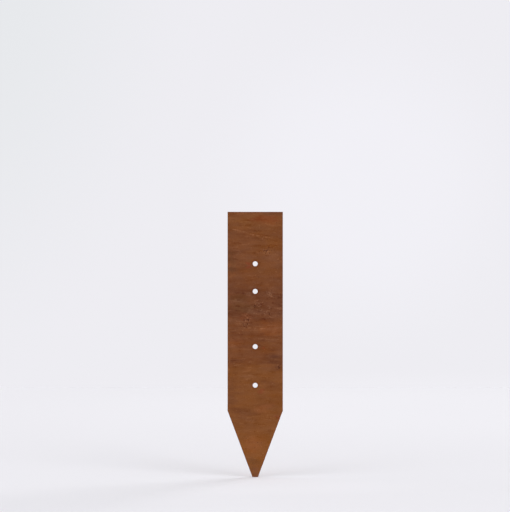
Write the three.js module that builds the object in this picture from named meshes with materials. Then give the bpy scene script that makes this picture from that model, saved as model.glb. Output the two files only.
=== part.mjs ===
// Tapered garden stake: one flat plate of weathering steel with parallel sides, a square head, a tapered
// foot and a row of screw holes down its middle.
// Millimetres, +Z up. The plate stands in the XZ plane with its thickness along Y and its front facing -Y,
// and the origin is the middle of the blunt tip's end.

import * as THREE from "three";

// Driving dimensions
const stakeLength = 240; // from the tip's end to the head, along Z
const stakeWidth = 50; // across the parallel sides, along X
const plateThickness = 3; // sheet gauge, along Y
const taperLength = 60; // height of the tapered foot
const tipWidth = 5; // blunt end of the foot
const screwHoleDiameter = 4.5;
const headToFirstHole = 47; // from the head's edge down to the first hole's centre
const holePitches = [25, 50, 35]; // from each hole's centre down to the next one's
const edgeBreak = 0.3; // 45 degree break on every cut edge, both faces
const holeFacets = 48; // straight facets round one hole

// Weathered finish
const rustColour = 0x744629;
const rustRoughness = 0.85;
const rustMetalness = 0.15;

// Heights of the hole centres above the tip, from the head downwards
function holeHeights() {
  const heights = [stakeLength - headToFirstHole];
  for (const pitch of holePitches) {
    heights.push(heights[heights.length - 1] - pitch);
  }
  return heights;
}

// Outline of the plate seen from the front, anticlockwise from the tip's right corner
function plateOutline() {
  const halfWidth = stakeWidth / 2;
  const halfTip = tipWidth / 2;
  const outline = new THREE.Shape();
  outline.moveTo(halfTip, 0);
  outline.lineTo(halfWidth, taperLength);
  outline.lineTo(halfWidth, stakeLength);
  outline.lineTo(-halfWidth, stakeLength);
  outline.lineTo(-halfWidth, taperLength);
  outline.lineTo(-halfTip, 0);
  outline.closePath();
  return outline;
}

// One round hole on the centre line
function screwHole(height) {
  const clockwise = true;
  const hole = new THREE.Path();
  hole.absarc(0, height, screwHoleDiameter / 2, 0, 2 * Math.PI, clockwise);
  return hole;
}

function weatheringSteel() {
  return new THREE.MeshStandardMaterial({
    color: rustColour,
    roughness: rustRoughness,
    metalness: rustMetalness,
  });
}

// The outline is extruded flat, with the edge break taken out of its own size, and then stood upright
function stakePlate() {
  const outline = plateOutline();
  outline.holes = holeHeights().map(screwHole);
  const geometry = new THREE.ExtrudeGeometry(outline, {
    depth: plateThickness - 2 * edgeBreak,
    bevelEnabled: true,
    bevelThickness: edgeBreak,
    bevelSize: edgeBreak,
    bevelOffset: -edgeBreak,
    bevelSegments: 1,
    curveSegments: holeFacets / 2,
  });
  const plate = new THREE.Mesh(geometry, weatheringSteel());
  plate.name = "stake_plate";
  plate.rotation.x = Math.PI / 2;
  plate.position.y = plateThickness / 2 - edgeBreak;
  return plate;
}

const gardenStake = new THREE.Group();
gardenStake.add(stakePlate());

export default gardenStake;
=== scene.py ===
import math
import bpy
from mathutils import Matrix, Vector


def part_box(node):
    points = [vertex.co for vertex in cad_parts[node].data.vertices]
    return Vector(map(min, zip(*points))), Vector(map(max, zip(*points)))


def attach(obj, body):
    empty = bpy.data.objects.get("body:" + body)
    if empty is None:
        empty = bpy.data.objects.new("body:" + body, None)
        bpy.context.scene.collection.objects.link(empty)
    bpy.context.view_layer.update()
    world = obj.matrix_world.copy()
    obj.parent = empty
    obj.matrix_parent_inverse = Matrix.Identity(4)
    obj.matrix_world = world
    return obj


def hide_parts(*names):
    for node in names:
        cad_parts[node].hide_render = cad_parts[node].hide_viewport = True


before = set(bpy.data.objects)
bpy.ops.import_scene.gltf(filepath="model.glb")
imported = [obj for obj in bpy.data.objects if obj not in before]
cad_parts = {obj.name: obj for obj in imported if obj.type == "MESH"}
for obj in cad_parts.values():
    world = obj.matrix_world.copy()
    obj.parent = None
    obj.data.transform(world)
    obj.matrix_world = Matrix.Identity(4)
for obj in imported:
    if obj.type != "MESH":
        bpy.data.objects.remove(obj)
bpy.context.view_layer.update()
plateLow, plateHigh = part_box("stake_plate")
mm = 0.001
quarterTurn = 0.5 * math.pi
noiseMiddle = 0.5    # a noise texture's mean


def plug(tree, socket, value):
    if isinstance(value, bpy.types.NodeSocket):
        tree.links.new(value, socket)
    else:
        socket.default_value = value


def put(tree, kind, feeds=None, **settings):
    node = tree.nodes.new(kind)
    for name, value in settings.items():
        setattr(node, name, value)
    for name, value in (feeds or {}).items():
        plug(tree, node.inputs[name], value)
    return node


def calc(tree, operation, *values):
    return put(tree, "ShaderNodeMath", dict(enumerate(values)), operation=operation).outputs[0]


def vector(tree, operation, *values):
    return put(tree, "ShaderNodeVectorMath", dict(enumerate(values)), operation=operation).outputs[0]


def scaled(tree, direction, amount):
    return put(tree, "ShaderNodeVectorMath", {0: direction, "Scale": amount}, operation="SCALE").outputs[0]


def xyz(tree, x, y, z):
    return put(tree, "ShaderNodeCombineXYZ", {0: x, 1: y, 2: z}).outputs[0]


def coordinate(tree, place, axis):
    return put(tree, "ShaderNodeSeparateXYZ", {"Vector": place}).outputs[axis]


def ranged(tree, value, low, high, toLow, toHigh, kind="LINEAR", clamp=True):
    feeds = dict(enumerate((value, low, high, toLow, toHigh)))
    return put(tree, "ShaderNodeMapRange", feeds, interpolation_type=kind, clamp=clamp).outputs[0]


def newTree(name, kind, inputs, outputs):
    tree = bpy.data.node_groups.new(name, kind)
    for label, socketKind, value in inputs:
        socket = tree.interface.new_socket(label, in_out="INPUT", socket_type=socketKind)
        if value is not None:
            socket.default_value = value
    for label, socketKind in outputs:
        tree.interface.new_socket(label, in_out="OUTPUT", socket_type=socketKind)
    given = put(tree, "NodeGroupInput").outputs
    result = put(tree, "NodeGroupOutput").inputs
    return tree, given, result


def named(tree, attribute):
    return put(tree, "GeometryNodeInputNamedAttribute", {"Name": attribute}, data_type="FLOAT").outputs[0]


def store(tree, geometry, attribute, value, domain="POINT", selection=True):
    feeds = {"Geometry": geometry, "Name": attribute, "Value": value, "Selection": selection}
    return put(tree, "GeometryNodeStoreNamedAttribute", feeds, data_type="FLOAT", domain=domain).outputs[0]


def over(tree, value, limit):
    return put(tree, "FunctionNodeCompare", {"A": value, "B": limit}, operation="GREATER_THAN").outputs[0]


# Stake plate: a sheet with punched holes, its rim rolled over to the middle and mirrored to the back
plateSettings = {
    "sizes": {
        "Length": plateHigh[2] - plateLow[2],
        "Width": plateHigh[0] - plateLow[0],
        "Thickness": plateHigh[1] - plateLow[1],
        "Taper Length": 60 * mm,
        "Tip Width": 5 * mm,
        "Hole Diameter": 4.5 * mm,
        "Edge Round": 0.3 * mm,
        "Fine Band": 4 * mm,    # half the width of the close columns along the holes
        "Fine Columns": 10,
        "Coarse Columns": 22,
        "Taper Rows": 120,
        "Body Rows": 360,
        "Hole Ring": 5,    # the square ring of the grid that becomes a hole's rim
        "Circle Reach": 4.48 * mm,    # radius that the rings grow to at the fine band's border
        "Crust Depth": 0.07 * mm,
        "Crust Size": 5 * mm,
    },
    "headToFirstHole": 47 * mm,
    "holePitches": [25 * mm, 50 * mm, 35 * mm],
    "roundSteps": 4,
    "wallSteps": 2,
    "weldGap": 0.001 * mm,
    "crustLayers": [
        dict(share=0.7, size=1.0, detail=2),    # broad swellings
        dict(share=0.3, size=0.35, detail=1),    # smaller grains on them
    ],
}
flagSet = 0.5    # over this a flag of 0 or 1 counts as set
bothEndsSet = 0.9    # over this an edge has the flag at both ends
pointsPerRing = 8    # points that a square ring of the grid gains with each step out


def holeHeights():
    heights = [plateSettings["sizes"]["Length"] - plateSettings["headToFirstHole"]]
    for pitch in plateSettings["holePitches"]:
        heights.append(heights[-1] - pitch)
    return heights


def rimTurns():
    # Outward and downward share of the edge round at each step of the roll
    turns = []
    steps = plateSettings["roundSteps"]
    for step in range(steps):
        before = quarterTurn * step / steps
        after = quarterTurn * (step + 1) / steps
        turns.append((math.sin(after) - math.sin(before), math.cos(before) - math.cos(after)))
    return turns


def punchedSheet(tree, given, middles):
    # Columns and rows counted from the grid's index; columns are signed from the centre line
    halfColumns = calc(tree, "ADD", given["Fine Columns"], given["Coarse Columns"])
    lastRow = calc(tree, "ADD", given["Taper Rows"], given["Body Rows"])
    rowPoints = calc(tree, "ADD", lastRow, 1)
    columnPoints = calc(tree, "MULTIPLY_ADD", halfColumns, 2, 1)
    grid = put(tree, "GeometryNodeMeshGrid", {"Vertices X": columnPoints, "Vertices Y": rowPoints})
    index = put(tree, "GeometryNodeInputIndex").outputs[0]
    column = calc(tree, "FLOOR", calc(tree, "DIVIDE", index, rowPoints))
    column = calc(tree, "SUBTRACT", column, halfColumns)
    row = calc(tree, "FLOORED_MODULO", index, rowPoints)
    away = calc(tree, "ABSOLUTE", column)

    # Flat face: the outline drawn in by the edge round, with close columns along the holes
    half = calc(tree, "MULTIPLY", given["Width"], 0.5)
    flatHalf = calc(tree, "SUBTRACT", half, given["Edge Round"])
    fine = ranged(tree, away, 0, given["Fine Columns"], 0, given["Fine Band"])
    rest = calc(tree, "SUBTRACT", flatHalf, given["Fine Band"])
    coarse = ranged(tree, away, given["Fine Columns"], halfColumns, 0, rest)
    spread = calc(tree, "MULTIPLY", calc(tree, "ADD", fine, coarse), calc(tree, "SIGN", column))
    bodyLength = calc(tree, "SUBTRACT", given["Length"], given["Taper Length"])
    bodyLength = calc(tree, "SUBTRACT", bodyLength, given["Edge Round"])
    foot = ranged(tree, row, 0, given["Taper Rows"], given["Edge Round"], given["Taper Length"])
    body = ranged(tree, row, given["Taper Rows"], lastRow, 0, bodyLength)
    height = calc(tree, "ADD", foot, body)
    halfTip = calc(tree, "MULTIPLY", given["Tip Width"], 0.5)
    outline = ranged(tree, height, 0, given["Taper Length"], halfTip, half)
    outline = calc(tree, "SUBTRACT", outline, given["Edge Round"])
    across = calc(tree, "DIVIDE", calc(tree, "MULTIPLY", spread, outline), flatHalf)
    front = calc(tree, "MULTIPLY", given["Thickness"], -0.5)
    flat = xyz(tree, across, front, height)

    # Around each hole the square rings of the grid turn into circles
    near = put(tree, "GeometryNodeProximity", {"Geometry": middles, "Sample Position": flat},
               target_element="POINTS").outputs["Position"]
    holeHeight = coordinate(tree, near, "Z")
    bodyStep = calc(tree, "DIVIDE", bodyLength, given["Body Rows"])
    holeRow = calc(tree, "DIVIDE", calc(tree, "SUBTRACT", holeHeight, given["Taper Length"]), bodyStep)
    holeRow = calc(tree, "ADD", calc(tree, "ROUND", holeRow), given["Taper Rows"])
    rise = calc(tree, "SUBTRACT", row, holeRow)
    ring = calc(tree, "MAXIMUM", away, calc(tree, "ABSOLUTE", rise))
    slant = [
        calc(tree, "TANGENT", calc(tree, "MULTIPLY", calc(tree, "DIVIDE", part, ring), 0.5 * quarterTurn))
        for part in (column, rise)
    ]
    direction = vector(tree, "NORMALIZE", xyz(tree, slant[0], 0, slant[1]))
    rim = calc(tree, "MULTIPLY_ADD", given["Hole Diameter"], 0.5, given["Edge Round"])
    radius = ranged(tree, ring, given["Hole Ring"], given["Fine Columns"], rim, given["Circle Reach"],
                    clamp=False)
    circle = vector(tree, "ADD", scaled(tree, direction, radius), xyz(tree, 0, front, holeHeight))
    share = ranged(tree, ring, given["Hole Ring"], given["Fine Columns"], 0, 1)
    place = put(tree, "ShaderNodeMix", {0: share, 4: circle, 5: flat}, data_type="VECTOR").outputs[1]

    # The rim's place is stored before the index changes
    atSide = calc(tree, "SUBTRACT", away, calc(tree, "SUBTRACT", halfColumns, 1))
    atSide = calc(tree, "MULTIPLY", calc(tree, "MAXIMUM", atSide, 0), calc(tree, "SIGN", column))
    atHead = calc(tree, "MAXIMUM", calc(tree, "SUBTRACT", row, calc(tree, "SUBTRACT", lastRow, 1)), 0)
    atTip = calc(tree, "MAXIMUM", calc(tree, "SUBTRACT", 1, row), 0)
    sheet = store(tree, grid.outputs["Mesh"], "rimSide", atSide)
    sheet = store(tree, sheet, "rimEnd", calc(tree, "SUBTRACT", atHead, atTip))
    sheet = store(tree, sheet, "holeRing", ring)
    sheet = put(tree, "GeometryNodeSetPosition", {"Geometry": sheet, "Position": place}).outputs[0]
    inside = over(tree, calc(tree, "SUBTRACT", given["Hole Ring"], named(tree, "holeRing")), flagSet)
    return put(tree, "GeometryNodeDeleteGeometry", {"Geometry": sheet, "Selection": inside}).outputs[0]


def rolledRim(tree, given, sheet):
    side = named(tree, "rimSide")
    end = named(tree, "rimEnd")
    reach = calc(tree, "MAXIMUM", calc(tree, "ABSOLUTE", side), calc(tree, "ABSOLUTE", end))
    selection = over(tree, reach, bothEndsSet)
    wallSteps = plateSettings["wallSteps"]
    halfThick = calc(tree, "MULTIPLY", given["Thickness"], 0.5)
    wall = calc(tree, "DIVIDE", calc(tree, "SUBTRACT", halfThick, given["Edge Round"]), wallSteps)
    moves = []
    for out, down in rimTurns():
        outward = calc(tree, "MULTIPLY", given["Edge Round"], out)
        moves.append(xyz(tree, calc(tree, "MULTIPLY", side, outward),
                         calc(tree, "MULTIPLY", given["Edge Round"], down),
                         calc(tree, "MULTIPLY", end, outward)))
    moves += [xyz(tree, 0, wall, 0)] * wallSteps
    for move in moves:
        grown = put(tree, "GeometryNodeExtrudeMesh",
                    {"Mesh": sheet, "Selection": selection, "Offset Scale": 0}, mode="EDGES")
        sheet = store(tree, grown.outputs["Mesh"], "cut", 1.0, "FACE", grown.outputs["Side"])
        selection = grown.outputs["Top"]
        sheet = put(tree, "GeometryNodeSetPosition",
                    {"Geometry": sheet, "Selection": selection, "Offset": move}).outputs[0]
    return sheet


def holeLiner(tree, given):
    # One hole's wall with rounded rims, as a grid rolled up about the hole's axis
    roundSteps = plateSettings["roundSteps"]
    halfLevels = roundSteps + plateSettings["wallSteps"]
    levels = 2 * halfLevels
    around = calc(tree, "MULTIPLY", given["Hole Ring"], pointsPerRing)
    grid = put(tree, "GeometryNodeMeshGrid",
               {"Vertices X": calc(tree, "ADD", around, 1), "Vertices Y": levels + 1})
    index = put(tree, "GeometryNodeInputIndex").outputs[0]
    turn = calc(tree, "FLOOR", calc(tree, "DIVIDE", index, levels + 1))
    angle = calc(tree, "MULTIPLY", calc(tree, "DIVIDE", turn, around), 4 * quarterTurn)
    level = calc(tree, "FLOORED_MODULO", index, levels + 1)
    depth = calc(tree, "MINIMUM", level, calc(tree, "SUBTRACT", levels, level))
    bend = ranged(tree, depth, 0, roundSteps, 0, quarterTurn)
    tuck = calc(tree, "SUBTRACT", 1, calc(tree, "SINE", bend))
    tuck = calc(tree, "MULTIPLY", tuck, given["Edge Round"])
    radius = calc(tree, "MULTIPLY_ADD", given["Hole Diameter"], 0.5, tuck)
    sink = calc(tree, "SUBTRACT", 1, calc(tree, "COSINE", bend))
    sink = calc(tree, "MULTIPLY", sink, given["Edge Round"])
    halfThick = calc(tree, "MULTIPLY", given["Thickness"], 0.5)
    wall = calc(tree, "SUBTRACT", halfThick, given["Edge Round"])
    sink = calc(tree, "ADD", sink, ranged(tree, depth, roundSteps, halfLevels, 0, wall))
    outward = calc(tree, "SUBTRACT", halfThick, sink)
    facing = calc(tree, "SIGN", calc(tree, "SUBTRACT", level, halfLevels))
    place = xyz(tree, calc(tree, "MULTIPLY", calc(tree, "COSINE", angle), radius),
                calc(tree, "MULTIPLY", outward, facing),
                calc(tree, "MULTIPLY", calc(tree, "SINE", angle), radius))
    liner = put(tree, "GeometryNodeSetPosition",
                {"Geometry": grid.outputs["Mesh"], "Position": place}).outputs[0]
    return store(tree, liner, "cut", 1.0, "FACE")


def crustHeight(tree, given):
    position = put(tree, "GeometryNodeInputPosition").outputs[0]
    height = 0.0
    for layer in plateSettings["crustLayers"]:
        scale = calc(tree, "DIVIDE", 1, calc(tree, "MULTIPLY", given["Crust Size"], layer["size"]))
        noise = put(tree, "ShaderNodeTexNoise",
                    {"Vector": position, "Scale": scale, "Detail": layer["detail"]})
        swell = calc(tree, "SUBTRACT", noise.outputs[0], noiseMiddle)
        height = calc(tree, "MULTIPLY_ADD", swell, layer["share"], height)
    return calc(tree, "MULTIPLY", height, given["Crust Depth"])


def stakeTree(faceMaterial, cutMaterial):
    inputs = [("Hole Middles", "NodeSocketGeometry", None)]
    for label, value in plateSettings["sizes"].items():
        kind = "NodeSocketInt" if isinstance(value, int) else "NodeSocketFloat"
        inputs.append((label, kind, value))
    tree, given, result = newTree("stakeShape", "GeometryNodeTree", inputs,
                                  [("Geometry", "NodeSocketGeometry")])
    middles = given["Hole Middles"]
    halfShell = rolledRim(tree, given, punchedSheet(tree, given, middles))
    mirrored = put(tree, "GeometryNodeTransform", {"Geometry": halfShell, "Scale": (1, -1, 1)}).outputs[0]
    mirrored = put(tree, "GeometryNodeFlipFaces", {"Mesh": mirrored}).outputs[0]
    liners = put(tree, "GeometryNodeInstanceOnPoints",
                 {"Points": middles, "Instance": holeLiner(tree, given)}).outputs[0]
    joined = put(tree, "GeometryNodeJoinGeometry")
    for part in (halfShell, mirrored, liners):
        tree.links.new(part, joined.inputs[0])
    solid = put(tree, "GeometryNodeRealizeInstances", {"Geometry": joined.outputs[0]}).outputs[0]
    solid = put(tree, "GeometryNodeMergeByDistance",
                {"Geometry": solid, "Distance": plateSettings["weldGap"]}).outputs[0]
    normal = put(tree, "GeometryNodeInputNormal").outputs[0]
    lift = scaled(tree, normal, crustHeight(tree, given))
    solid = put(tree, "GeometryNodeSetPosition", {"Geometry": solid, "Offset": lift}).outputs[0]
    solid = put(tree, "GeometryNodeSetShadeSmooth", {"Geometry": solid}).outputs[0]
    solid = put(tree, "GeometryNodeSetMaterial", {"Geometry": solid, "Material": faceMaterial}).outputs[0]
    isCut = over(tree, named(tree, "cut"), flagSet)
    solid = put(tree, "GeometryNodeSetMaterial",
                {"Geometry": solid, "Material": cutMaterial, "Selection": isCut}).outputs[0]
    tree.links.new(solid, result[0])
    return tree


def plainMesh(name, points, tree, values):
    mesh = bpy.data.meshes.new(name + "Points")
    mesh.from_pydata(points, [], [])
    source = bpy.data.objects.new(name + "Points", mesh)
    bpy.context.scene.collection.objects.link(source)
    modifier = source.modifiers.new("shape", "NODES")
    modifier.node_group = tree
    for item in tree.interface.items_tree:
        if item.in_out == "INPUT" and item.name in values:
            modifier[item.identifier] = values[item.name]
    graph = bpy.context.evaluated_depsgraph_get()
    made = bpy.data.meshes.new_from_object(source.evaluated_get(graph))
    for attribute in ("rimSide", "rimEnd", "holeRing", "cut"):
        made.attributes.remove(made.attributes[attribute])
    for slot in reversed(range(len(made.materials))):
        if made.materials[slot] is None:
            made.materials.pop(index=slot)
    made.name = name
    source.modifiers.remove(modifier)
    bpy.data.objects.remove(source)
    piece = bpy.data.objects.new(name, made)
    bpy.context.scene.collection.objects.link(piece)
    return piece


# Rust: tones, and effects as groups, with sizes in millimetres
def tone(code):
    # A screen colour code turned to light levels by the usual screen curve
    parts = [int(code[place:place + 2], 16) / 255 for place in (1, 3, 5)]
    return tuple(p / 12.92 if p <= 0.04045 else ((p + 0.055) / 1.055) ** 2.4 for p in parts) + (1.0,)


rustTones = {
    "umber": tone("#6E4027"),
    "olive": tone("#6B4528"),
    "brown": tone("#774526"),
    "ochre": tone("#7F4C27"),
    "orange": tone("#875024"),
    "red": tone("#833F24"),
    "soot": tone("#4F2B1A"),
    "pit": tone("#4E240F"),
    "bloom": tone("#81533A"),
    "clay": tone("#915632"),
}
dust = tone("#9E775B")[:3]    # pale bloom on the raised grains
warmth = (0.40, 0.0, -0.16)    # drift from plum to yellow rust
darkest = (0.01, 0.006, 0.004)
through = 1000    # reach of a patch along Y, past both faces
patchEdge = dict(outer=1.25, inner=0.35)    # where a patch ends and is full, in shares of its reach
markEdge = 0.06    # width of a mark's edge, in noise levels
grainSettings = {
    "grains": dict(Scale=1.2, Detail=5.0, Roughness=0.72),
    "pores": dict(Size=(0.6, 0.6, 0.5), Level=0.61),
    "specks": dict(Size=(0.5, 0.5, 0.4), Level=0.61),
    "specksAside": (7, 3),
    "shadeRange": (0.28, 0.72),
    "poreDepth": -0.35,
}


def blend(tree, share, first, second):
    return put(tree, "ShaderNodeMix", {0: share, 6: first, 7: second}, data_type="RGBA").outputs[2]


def effect(tree, group, **feeds):
    return put(tree, "ShaderNodeGroup", node_tree=group, feeds=feeds).outputs


def moved(tree, spot, x, z):
    return vector(tree, "ADD", spot, (x, 0, z))


def patternGroup():
    # A noise drawn out to the given size, from -1 to 1
    tree, given, result = newTree("drawnNoise", "ShaderNodeTree", [
        ("Vector", "NodeSocketVector", None),
        ("Size", "NodeSocketVector", (10, 10, 10)),
        ("Detail", "NodeSocketFloat", 2.0),
        ("Spread", "NodeSocketFloat", 0.28),
    ], [("Value", "NodeSocketFloat")])
    small = vector(tree, "DIVIDE", given["Vector"], given["Size"])
    noise = put(tree, "ShaderNodeTexNoise", {"Vector": small, "Scale": 1.0, "Detail": given["Detail"]})
    low = calc(tree, "SUBTRACT", noiseMiddle, given["Spread"])
    high = calc(tree, "ADD", noiseMiddle, given["Spread"])
    tree.links.new(ranged(tree, noise.outputs[0], low, high, -1, 1), result["Value"])
    return tree


def patchGroup():
    # A soft-edged patch about a middle
    tree, given, result = newTree("stainPatch", "ShaderNodeTree", [
        ("Vector", "NodeSocketVector", None),
        ("Middle", "NodeSocketVector", None),
        ("Reach", "NodeSocketVector", (10, through, 10)),
        ("Feather", "NodeSocketFloat", 0.0),
    ], [("Mask", "NodeSocketFloat")])
    apart = vector(tree, "SUBTRACT", given["Vector"], given["Middle"])
    apart = vector(tree, "DIVIDE", apart, given["Reach"])
    distance = put(tree, "ShaderNodeVectorMath", {0: apart}, operation="LENGTH").outputs["Value"]
    distance = calc(tree, "ADD", distance, given["Feather"])
    mask = ranged(tree, distance, patchEdge["outer"], patchEdge["inner"], 0, 1, "SMOOTHSTEP")
    tree.links.new(mask, result["Mask"])
    return tree


def markGroup():
    # Ragged separate marks where a noise rises over a level, and the rims round them
    tree, given, result = newTree("raggedMarks", "ShaderNodeTree", [
        ("Vector", "NodeSocketVector", None),
        ("Size", "NodeSocketVector", (2, 2, 2)),
        ("Detail", "NodeSocketFloat", 2.0),
        ("Level", "NodeSocketFloat", 0.6),
    ], [("Mask", "NodeSocketFloat"), ("Rim", "NodeSocketFloat")])
    small = vector(tree, "DIVIDE", given["Vector"], given["Size"])
    noise = put(tree, "ShaderNodeTexNoise", {"Vector": small, "Scale": 1.0, "Detail": given["Detail"]})
    above = calc(tree, "SUBTRACT", noise.outputs[0], given["Level"])
    mask = ranged(tree, above, 0.0, markEdge, 0, 1, "SMOOTHSTEP")
    wide = ranged(tree, above, -markEdge, 0.0, 0, 1, "SMOOTHSTEP")
    tree.links.new(mask, result["Mask"])
    tree.links.new(calc(tree, "SUBTRACT", wide, mask), result["Rim"])
    return tree


def grainGroup():
    # Rust grain: light and dark grains, dark pores, fresh orange specks, and their height
    tree, given, result = newTree("rustGrain", "ShaderNodeTree", [
        ("Vector", "NodeSocketVector", None),
    ], [(name, "NodeSocketFloat") for name in ("Shade", "Pores", "Specks", "Height")])
    spot = given["Vector"]
    feeds = {"Vector": spot, **grainSettings["grains"]}
    grains = put(tree, "ShaderNodeTexNoise", feeds).outputs[0]
    pores = effect(tree, raggedMarks, Vector=spot, **grainSettings["pores"])["Mask"]
    aside = moved(tree, spot, *grainSettings["specksAside"])
    specks = effect(tree, raggedMarks, Vector=aside, **grainSettings["specks"])["Mask"]
    low, high = grainSettings["shadeRange"]
    tree.links.new(ranged(tree, grains, low, high, -1, 1), result["Shade"])
    tree.links.new(pores, result["Pores"])
    tree.links.new(specks, result["Specks"])
    height = calc(tree, "MULTIPLY_ADD", pores, grainSettings["poreDepth"], grains)
    tree.links.new(height, result["Height"])
    return tree


drawnNoise = patternGroup()
stainPatch = patchGroup()
raggedMarks = markGroup()
rustGrain = grainGroup()


def newMaterial(name):
    material = bpy.data.materials.new(name)
    material.use_nodes = True
    tree = material.node_tree
    return material, tree, tree.nodes["Principled BSDF"]


def millimetres(tree):
    place = put(tree, "ShaderNodeTexCoord").outputs["Object"]
    return scaled(tree, place, 1 / mm)


def summed(tree, amounts):
    total = 0.0
    for mask, strength in amounts:
        total = calc(tree, "MULTIPLY_ADD", mask, strength, total)
    return total


def tinted(tree, colour, tint, amounts):
    return vector(tree, "MULTIPLY_ADD", tint, summed(tree, amounts), colour)


def finishSurface(tree, shader, colour, dullness, relief, finish):
    plug(tree, shader.inputs["Base Color"], colour)
    roughness = calc(tree, "MULTIPLY_ADD", dullness, finish["roughnessSpread"], finish["roughness"])
    plug(tree, shader.inputs["Roughness"], roughness)
    plug(tree, shader.inputs["Specular IOR Level"], finish["specular"])
    bump = put(tree, "ShaderNodeBump",
               {"Height": relief, "Distance": finish["bumpDepth"], "Strength": finish["bumpStrength"]})
    plug(tree, shader.inputs["Normal"], bump.outputs[0])


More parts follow.
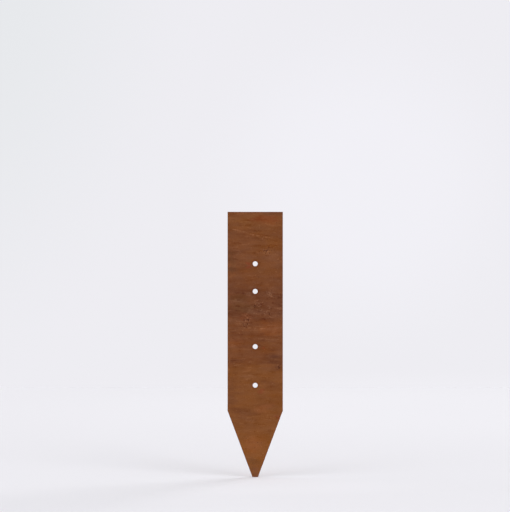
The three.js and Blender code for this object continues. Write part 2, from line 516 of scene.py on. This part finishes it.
# Rusted face: places are millimetres across from the centre line and up from the tip
faceSettings = {
    "backShift": (140, 0, 0),    # the back reads its patterns from further aside
    "bend": dict(stretch=(22, 22, 7), detail=4.0),    # slow bends of bands and stains
    "fray": dict(scale=0.9, detail=3.0),    # small tears at their edges
    "pull": dict(rough=(4.5, 0, 1.9), shaky=(6, 0, 4), loose=(16, 0, 12)),    # how far those reach
    "patterns": {
        "streak": dict(on="rough", Size=(28, 28, 5), Detail=2.0, Spread=0.22),
        "cloud": dict(on="spot", Size=(16, 16, 9), Detail=3.0, Spread=0.2),
        "mottle": dict(on="spot", Size=(3, 3, 2.4), Detail=2.0, Spread=0.22),
        "warm": dict(on="spot", aside=(71, 13), Size=(18, 18, 5), Detail=4.0, Spread=0.2),
        "broken": dict(on="spot", Size=(2.6, 2.6, 2.6), Detail=1.0),
    },
    "marks": {
        "pale": dict(on="shaky", Size=(10, 10, 2.3), Detail=1.0, Level=0.60),
        "dark": dict(on="shaky", aside=(31, 17), Size=(10, 10, 2.3), Detail=1.0, Level=0.60),
        "pits": dict(on="spot", Size=(1.0, 4, 1.7), Detail=2.0),
        "flakes": dict(on="spot", aside=(53, 29), Size=(1.7, 4, 1.1), Detail=1.5),
    },
    "amounts": dict(
        streak=0.105, cloud=0.065, mottle=0.03, pale=0.215, dark=-0.225,    # in the strokes
        shade=0.052, pores=-0.088, grime=-0.075, rim=0.10, flakes=0.22,    # of dust
        warm=0.022, specks=0.07,    # of warmth
    ),
    "fullShade": 0.5,    # grain shade at which dust is full; soot is full at its opposite
    "brokenRange": (-0.25, 0.35),    # noise where a scratch starts and where it is whole
    "feather": 0.45,    # how far the streaks pull a stain's edge
    "grimeReach": 4.6,
    "pitLevel": 0.70,    # noise level of a pit outside the clusters
    "clusterDrop": -0.17,    # change of that level inside them
    "pitDepth": -0.5,
    "finish": dict(roughness=0.84, roughnessSpread=0.06, specular=0.15,
                   bumpDepth=0.12 * mm, bumpStrength=0.6),
    "weatherBands": [
        (0, "ochre"), (26, "orange"), (48, "ochre"), (95, "ochre"), (105, "brown"), (130, "brown"),
        (150, "umber"), (163, "umber"), (182, "brown"), (220, "brown"), (234, "ochre"), (240, "brown"),
    ],
    "strokeBands": [
        (0, 0.25), (35, 0.45), (50, 0.58), (66, 0.36), (85, 0.43), (98, 0.64), (113, 0.52), (128, 0.70),
        (142, 0.74), (156, 0.90), (172, 0.44), (190, 0.45), (212, 0.63), (236, 0.55),
    ],
    "stains": [
        dict(place=(10, 206), reach=(17, 34), tone="ochre", share=0.38),
        dict(place=(11, 233), reach=(15, 5), tone="red", share=0.45),
        dict(place=(-17, 233), reach=(9, 3), tone="ochre", share=0.5),
        dict(place=(17, 211), reach=(9, 5), tone="orange", share=0.35),
        dict(place=(-21, 195), reach=(6, 11), tone="olive", share=0.7),
        dict(place=(-19, 197), reach=(11, 13), tone="umber", share=0.55),
        dict(place=(-6, 192.5), reach=(2, 3), tone="red", share=0.7),
        dict(place=(13, 188), reach=(11, 4), tone="ochre", share=0.25),
        dict(place=(14, 197), reach=(12, 8), tone="bloom", share=0.35),
        dict(place=(-15, 179), reach=(7, 6), tone="umber", share=0.5),
        dict(place=(17, 174), reach=(8, 5), tone="bloom", share=0.25),
        dict(place=(-20, 163), reach=(7, 4), tone="bloom", share=0.25),
        dict(place=(-6, 165), reach=(10, 4), tone="soot", share=0.14),
        dict(place=(-11, 155), reach=(14, 8), tone="olive", share=0.45),
        dict(place=(-10, 144), reach=(7, 4), tone="red", share=0.22),
        dict(place=(10, 162), reach=(14, 7), tone="umber", share=0.6),
        dict(place=(21, 164), reach=(6, 6), tone="soot", share=0.12),
        dict(place=(14, 133), reach=(15, 6), tone="clay", share=0.52),
        dict(place=(-13, 129), reach=(12, 5), tone="umber", share=0.8),
        dict(place=(6.5, 129.5), reach=(2.5, 1.5), tone="soot", share=0.25),
        dict(place=(9, 117), reach=(1.6, 2.4), tone="red", share=0.6),
        dict(place=(13, 121), reach=(10, 4), tone="orange", share=0.35),
        dict(place=(-19, 123), reach=(8, 5), tone="clay", share=0.38),
        dict(place=(18, 105), reach=(10, 8), tone="umber", share=0.9),
        dict(place=(15, 106), reach=(11, 6), tone="soot", share=0.24),
        dict(place=(-16, 105), reach=(9, 2.4), tone="umber", share=0.55),
        dict(place=(14, 84), reach=(9, 5), tone="umber", share=0.4),
        dict(place=(5, 78), reach=(3.5, 2.6), tone="red", share=0.6),
        dict(place=(-21, 76), reach=(7, 20), tone="umber", share=0.35),
        dict(place=(8, 62), reach=(9, 3), tone="clay", share=0.45),
        dict(place=(-8, 57), reach=(12, 6.5), tone="umber", share=0.38),
        dict(place=(20, 54), reach=(2.5, 2.5), tone="red", share=0.5),
        dict(place=(-2.5, 28), reach=(10, 8), tone="clay", share=0.50),
        dict(place=(0, 15), reach=(7, 3), tone="olive", share=0.35),
        dict(place=(0, 3), reach=(4, 4.5), tone="bloom", share=0.5),
        dict(place=(-9, 217), reach=(14, 9), tone="umber", share=0.5, back=True),
        dict(place=(14, 196), reach=(9, 12), tone="red", share=0.4, back=True),
        dict(place=(6, 142), reach=(15, 6), tone="orange", share=0.6, back=True),
        dict(place=(-14, 108), reach=(10, 14), tone="olive", share=0.6, back=True),
        dict(place=(12, 76), reach=(11, 5), tone="umber", share=0.6, back=True),
        dict(place=(-3, 40), reach=(9, 8), tone="red", share=0.4, back=True),
    ],
    "scratches": [
        dict(place=(-15, 223), reach=(10, 0.7), slope=-0.26, share=0.28),
        dict(place=(4, 218.5), reach=(14, 0.6), slope=-0.16, share=0.32),
        dict(place=(0, 134.5), reach=(11, 0.6), slope=-0.05, share=0.28),
        dict(place=(-16, 209), reach=(1.2, 9), slope=0.0, share=0.05),
    ],
    "pitClusters": [
        dict(place=(2.5, 155), reach=(4, 7)),
        dict(place=(13, 150), reach=(4, 6)),
        dict(place=(-9, 140), reach=(5, 8)),
        dict(place=(11, 204), reach=(6, 4)),
        dict(place=(20, 101), reach=(3, 4)),
        dict(place=(14, 166), reach=(4, 6)),
    ],
}


def swayed(tree, spot, scale, detail):
    noise = put(tree, "ShaderNodeTexNoise", {"Vector": spot, "Scale": scale, "Detail": detail})
    return vector(tree, "SUBTRACT", noise.outputs["Color"], (noiseMiddle, noiseMiddle, noiseMiddle))


def shifted(tree, spot, sway, reach):
    return vector(tree, "ADD", spot, vector(tree, "MULTIPLY", sway, reach))


def rustPlaces(tree):
    # The place on the plate, and copies of it that fray and bend what is drawn there
    pull = faceSettings["pull"]
    place = millimetres(tree)
    behind = calc(tree, "GREATER_THAN", coordinate(tree, place, "Y"), 0)
    spot = vector(tree, "ADD", place, scaled(tree, faceSettings["backShift"], behind))
    stretched = vector(tree, "DIVIDE", spot, faceSettings["bend"]["stretch"])
    bends = swayed(tree, stretched, 1.0, faceSettings["bend"]["detail"])
    frays = swayed(tree, spot, **faceSettings["fray"])
    rough = shifted(tree, spot, frays, pull["rough"])
    shaky = shifted(tree, rough, bends, pull["shaky"])
    loose = shifted(tree, rough, bends, pull["loose"])
    return dict(place=place, spot=spot, rough=rough, shaky=shaky, loose=loose)


def drawn(tree, group, places, on, aside=None, **feeds):
    spot = moved(tree, places[on], *aside) if aside else places[on]
    return effect(tree, group, Vector=spot, **feeds)


def patched(tree, spot, place, reach, **feeds):
    middle = (place[0], 0, place[1])
    spread = (reach[0], through, reach[1])
    return effect(tree, stainPatch, Vector=spot, Middle=middle, Reach=spread, **feeds)["Mask"]


def banded(tree, height, stops):
    full = plateSettings["sizes"]["Length"] / mm
    bands = put(tree, "ShaderNodeValToRGB", {"Fac": calc(tree, "DIVIDE", height, full)})
    ramp = bands.color_ramp
    ramp.interpolation = "EASE"
    while len(ramp.elements) < len(stops):
        ramp.elements.new(0.5)
    for stop, (level, colour) in zip(ramp.elements, stops):
        stop.position = level / full
        stop.color = colour
    return bands.outputs["Color"]


def stained(tree, loose, streak):
    bands = [(level, rustTones[name]) for level, name in faceSettings["weatherBands"]]
    colour = banded(tree, coordinate(tree, loose, "Z"), bands)
    feather = calc(tree, "MULTIPLY", streak, faceSettings["feather"])
    for stain in faceSettings["stains"]:
        x, z = stain["place"]
        x += faceSettings["backShift"][0] if stain.get("back") else 0
        mask = patched(tree, loose, (x, z), stain["reach"], Feather=feather)
        colour = blend(tree, calc(tree, "MULTIPLY", mask, stain["share"]), colour, rustTones[stain["tone"]])
    return colour


def strokes(tree, places, patterns, shade):
    # Level strokes of dust on raised grains and of soot between them, stronger where the plate is rougher
    marks = faceSettings["marks"]
    amounts = faceSettings["amounts"]
    full = faceSettings["fullShade"]
    pale = drawn(tree, raggedMarks, places, **marks["pale"])["Mask"]
    pale = calc(tree, "MULTIPLY", pale, ranged(tree, shade, -full, full, 0, 1))
    dark = drawn(tree, raggedMarks, places, **marks["dark"])["Mask"]
    dark = calc(tree, "MULTIPLY", dark, ranged(tree, shade, full, -full, 0, 1))
    drawings = {**patterns, "pale": pale, "dark": dark}
    layers = ("streak", "cloud", "mottle", "pale", "dark")
    total = summed(tree, [(drawings[name], amounts[name]) for name in layers])
    bands = [(level, (share, share, share, 1)) for level, share in faceSettings["strokeBands"]]
    strength = banded(tree, coordinate(tree, places["loose"], "Z"), bands)
    return total, strength


def scratched(tree, places, broken):
    # Thin pale scratches, broken along their length
    low, high = faceSettings["brokenRange"]
    broken = ranged(tree, broken, low, high, 0, 1)
    sideways = coordinate(tree, places["spot"], "X")
    amounts = []
    for scratch in faceSettings["scratches"]:
        along = calc(tree, "SUBTRACT", sideways, scratch["place"][0])
        sag = calc(tree, "MULTIPLY", along, -scratch["slope"])
        spot = vector(tree, "ADD", places["shaky"], xyz(tree, 0, 0, sag))
        mask = patched(tree, spot, scratch["place"], scratch["reach"])
        amounts.append((calc(tree, "MULTIPLY", mask, broken), scratch["share"]))
    return amounts


def holeGrime(tree, place):
    reach = (faceSettings["grimeReach"], faceSettings["grimeReach"])
    amount = faceSettings["amounts"]["grime"]
    return [(patched(tree, place, (0, height / mm), reach), amount) for height in holeHeights()]


def pitted(tree, places):
    # Pits and flakes, gathered in clusters
    clusters = 0.0
    for cluster in faceSettings["pitClusters"]:
        clusters = calc(tree, "MAXIMUM", clusters, patched(tree, places["loose"], **cluster))
    level = calc(tree, "MULTIPLY_ADD", clusters, faceSettings["clusterDrop"], faceSettings["pitLevel"])
    pits = drawn(tree, raggedMarks, places, Level=level, **faceSettings["marks"]["pits"])
    flakes = drawn(tree, raggedMarks, places, Level=level, **faceSettings["marks"]["flakes"])
    return pits, flakes["Mask"]


def faceRust():
    material, tree, shader = newMaterial("rustedFace")
    amounts = faceSettings["amounts"]
    places = rustPlaces(tree)
    patterns = {}
    for name, values in faceSettings["patterns"].items():
        patterns[name] = drawn(tree, drawnNoise, places, **values)["Value"]
    grain = effect(tree, rustGrain, Vector=places["spot"])
    pits, flakes = pitted(tree, places)
    pale = [strokes(tree, places, patterns, grain["Shade"])]
    pale += [(grain["Shade"], amounts["shade"]), (grain["Pores"], amounts["pores"])]
    pale += scratched(tree, places, patterns["broken"])
    pale += holeGrime(tree, places["place"])
    pale += [(pits["Rim"], amounts["rim"]), (flakes, amounts["flakes"])]
    warm = [(patterns["warm"], amounts["warm"]), (grain["Specks"], amounts["specks"])]
    colour = stained(tree, places["loose"], patterns["streak"])
    colour = tinted(tree, colour, warmth, warm)
    colour = tinted(tree, colour, dust, pale)
    colour = vector(tree, "MAXIMUM", colour, darkest)
    colour = blend(tree, pits["Mask"], colour, rustTones["pit"])
    relief = calc(tree, "MULTIPLY_ADD", pits["Mask"], faceSettings["pitDepth"], grain["Height"])
    finishSurface(tree, shader, colour, grain["Shade"], relief, faceSettings["finish"])
    return material


# Cut edges and hole walls: fine lines through the thickness
cutSettings = {
    "lines": dict(Size=(0.45, 5, 0.45), Detail=2.0),
    "cloud": dict(Size=(9, 9, 9), Detail=3.0),
    "cloudRange": (-0.6, 0.6),
    "amounts": dict(lines=0.07, shade=0.08, pores=-0.07),
    "lineDepth": 0.5,
    "finish": dict(roughness=0.78, roughnessSpread=0.06, specular=0.25,
                   bumpDepth=0.1 * mm, bumpStrength=0.6),
}


def cutRust():
    material, tree, shader = newMaterial("rustedCut")
    amounts = cutSettings["amounts"]
    spot = millimetres(tree)
    lines = effect(tree, drawnNoise, Vector=spot, **cutSettings["lines"])["Value"]
    cloud = effect(tree, drawnNoise, Vector=spot, **cutSettings["cloud"])["Value"]
    grain = effect(tree, rustGrain, Vector=spot)
    low, high = cutSettings["cloudRange"]
    colour = blend(tree, ranged(tree, cloud, low, high, 0, 1), rustTones["umber"], rustTones["brown"])
    pale = [(lines, amounts["lines"])]
    pale += [(grain["Shade"], amounts["shade"]), (grain["Pores"], amounts["pores"])]
    colour = tinted(tree, colour, dust, pale)
    relief = calc(tree, "MULTIPLY_ADD", lines, cutSettings["lineDepth"], grain["Height"])
    finishSurface(tree, shader, colour, lines, relief, cutSettings["finish"])
    return material


stakeShape = stakeTree(faceRust(), cutRust())
print("rust and stake tree made")
middles = [(0, 0, height) for height in holeHeights()]
plate = plainMesh("weatheredPlate", middles, stakeShape, plateSettings["sizes"])
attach(plate, "root")
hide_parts("stake_plate")
print("plate made with", len(plate.data.polygons), "faces")

# Paper floor, and a backdrop that lets the lamps' light through and shows painted light and shade; places
# are in metres
paperSettings = {
    "reach": 14.0,
    "seam": 1.22,    # how far behind the stake the floor meets the backdrop
    "top": 6.0,
    "foot": 0.03,    # height over which the backdrop takes on the floor's tone
}
# Paper tones: plain paper, tones of painted light (the glows) and tones of painted shade (the backdrop's
# corner and the dim floor patch)
paperTones = {
    "plain": (0.855, 0.847, 0.888, 1),
    "cornerShade": (0.799, 0.815, 0.839, 1),
    "dim": (0.838, 0.831, 0.872, 1),
    "floorGlow": (0.880, 0.872, 0.914, 1),
    "wallGlow": (0.881, 0.873, 0.921, 1),
}
# Painted light and shade on the floor: a painted pool of light near the backdrop, painted light in front of
# the tip that brightens the floor the stake shades there, and painted shade at the lower left
floorPatches = [
    dict(Middle=(0.22, 0.80, 0), Reach=(0.51, 0.55, 1), tone="floorGlow"),
    dict(Middle=(0.01, -0.065, 0), Reach=(0.14, 0.075, 1), tone="floorGlow"),
    dict(Middle=(-0.20, -0.22, 0), Reach=(0.16, 0.10, 1), tone="dim"),
]
# Painted light and shade on the backdrop: painted shade darkens its top-left corner, and a painted pool of
# light sits right of the middle
wallPatches = [
    dict(Middle=(-0.539, paperSettings["seam"], 0.680), Reach=(0.390, 1, 0.590), tone="cornerShade"),
    dict(Middle=(0.167, paperSettings["seam"], 0.308), Reach=(0.228, 1, 0.228), tone="wallGlow"),
]


def flatSheet(name, corners, material):
    mesh = bpy.data.meshes.new(name)
    mesh.from_pydata(corners, [], [(0, 1, 2, 3)])
    mesh.materials.append(material)
    sheet = bpy.data.objects.new(name, mesh)
    bpy.context.scene.collection.objects.link(sheet)


def paperTone(tree, place, patches):
    # Plain paper with patches of painted light and painted shade blended in
    colour = paperTones["plain"]
    for patch in patches:
        mask = effect(tree, stainPatch, Vector=place, Middle=patch["Middle"], Reach=patch["Reach"])["Mask"]
        colour = blend(tree, mask, colour, paperTones[patch["tone"]])
    return colour


def paperFloor():
    material, tree, shader = newMaterial("paperFloor")
    place = put(tree, "ShaderNodeTexCoord").outputs["Object"]
    plug(tree, shader.inputs["Base Color"], paperTone(tree, place, floorPatches))
    plug(tree, shader.inputs["Roughness"], 1.0)
    plug(tree, shader.inputs["Specular IOR Level"], 0.0)
    far = paperSettings["reach"]
    flatSheet("paperFloor", [(-far, -far, 0), (far, -far, 0), (far, far, 0), (-far, far, 0)], material)


def seenDirectly(tree):
    path = put(tree, "ShaderNodeLightPath").outputs
    seen = calc(tree, "MAXIMUM", path["Is Camera Ray"], path["Is Glossy Ray"])
    return calc(tree, "MAXIMUM", seen, path["Is Transmission Ray"])


def paperWall():
    material, tree, shader = newMaterial("paperWall")
    place = put(tree, "ShaderNodeTexCoord").outputs["Object"]
    height = coordinate(tree, place, "Z")
    foot = ranged(tree, height, paperSettings["foot"], 0.0, 0, 1, "SMOOTHSTEP")
    colour = blend(tree, foot, paperTone(tree, place, wallPatches), paperTone(tree, place, floorPatches))
    tree.nodes.remove(shader)
    # The backdrop shows its colour to the camera as emission, with its painted pool of light and painted
    # corner shade, and lets other rays through
    shown = put(tree, "ShaderNodeEmission", {"Color": colour}).outputs[0]
    clear = put(tree, "ShaderNodeBsdfTransparent").outputs[0]
    mixed = put(tree, "ShaderNodeMixShader", {0: seenDirectly(tree), 1: clear, 2: shown}).outputs[0]
    tree.links.new(mixed, tree.nodes["Material Output"].inputs["Surface"])
    far, seam, top = paperSettings["reach"], paperSettings["seam"], paperSettings["top"]
    corners = [(-far, seam, 0), (far, seam, 0), (far, seam, top), (-far, seam, top)]
    flatSheet("paperWall", corners, material)


paperFloor()
paperWall()
print("paper set")

# Lamps: four soft distant lamps, each with the way to it and the light it gives a white sheet facing it
lamps = [
    dict(name="frontRight", bearing=(0.68, -0.73), lift=28, share=0.215, softness=36),
    dict(name="frontLeft", bearing=(-0.75, -0.66), lift=52, share=0.085, softness=30),
    dict(name="left", bearing=(-0.96, 0.28), lift=38, share=0.07, softness=25),
    dict(name="backRight", bearing=(0.70, 0.71), lift=21, share=0.37, softness=36),
]
roomLight = (0.657, 0.657, 0.657, 1)    # even light from all round


def distantLamp(name, bearing, lift, share, softness):
    data = bpy.data.lights.new(name, "SUN")
    data.energy = math.pi * share    # at pi alone a sheet facing the lamp is white
    data.angle = math.radians(softness)
    lamp = bpy.data.objects.new(name, data)
    way = Vector((bearing[0], bearing[1], 0)).normalized() * math.cos(math.radians(lift))
    way.z = math.sin(math.radians(lift))
    lamp.rotation_euler = way.to_track_quat("Z", "Y").to_euler()
    bpy.context.scene.collection.objects.link(lamp)


def paleRoom():
    world = bpy.data.worlds.new("paleRoom")
    bpy.context.scene.world = world
    world.use_nodes = True
    tree = world.node_tree
    light = tree.nodes["Background"]
    plug(tree, light.inputs["Color"], blend(tree, seenDirectly(tree), roomLight, paperTones["plain"]))


for lamp in lamps:
    distantLamp(**lamp)
paleRoom()
print("lamps set")

# Camera: level and square to the face, far enough that the holes show no walls
viewSettings = {
    "distance": 1.8,
    "pixelsPerMm": 1.1053,
    "across": 255.21,    # column of the stake's centre line
    "footRow": 477.10,    # row of its tip
    "columns": 510,
    "rows": 512,
    "sensor": 36.0,
    "clipEnd": 100,
}


def photoCamera():
    view = viewSettings
    metresPerPixel = mm / view["pixelsPerMm"]
    data = bpy.data.cameras.new("photoCamera")
    data.sensor_width = view["sensor"]
    data.lens = view["sensor"] * view["distance"] / (max(view["columns"], view["rows"]) * metresPerPixel)
    data.clip_end = view["clipEnd"]
    camera = bpy.data.objects.new("photoCamera", data)
    sideways = (view["columns"] / 2 - view["across"]) * metresPerPixel
    upward = (view["footRow"] - view["rows"] / 2) * metresPerPixel
    camera.location = (sideways, plateLow[1] - view["distance"], upward)
    camera.rotation_euler = (quarterTurn, 0, 0)
    bpy.context.scene.collection.objects.link(camera)
    bpy.context.scene.camera = camera


photoCamera()
bpy.context.scene.view_settings.view_transform = "Standard"
print("camera set")
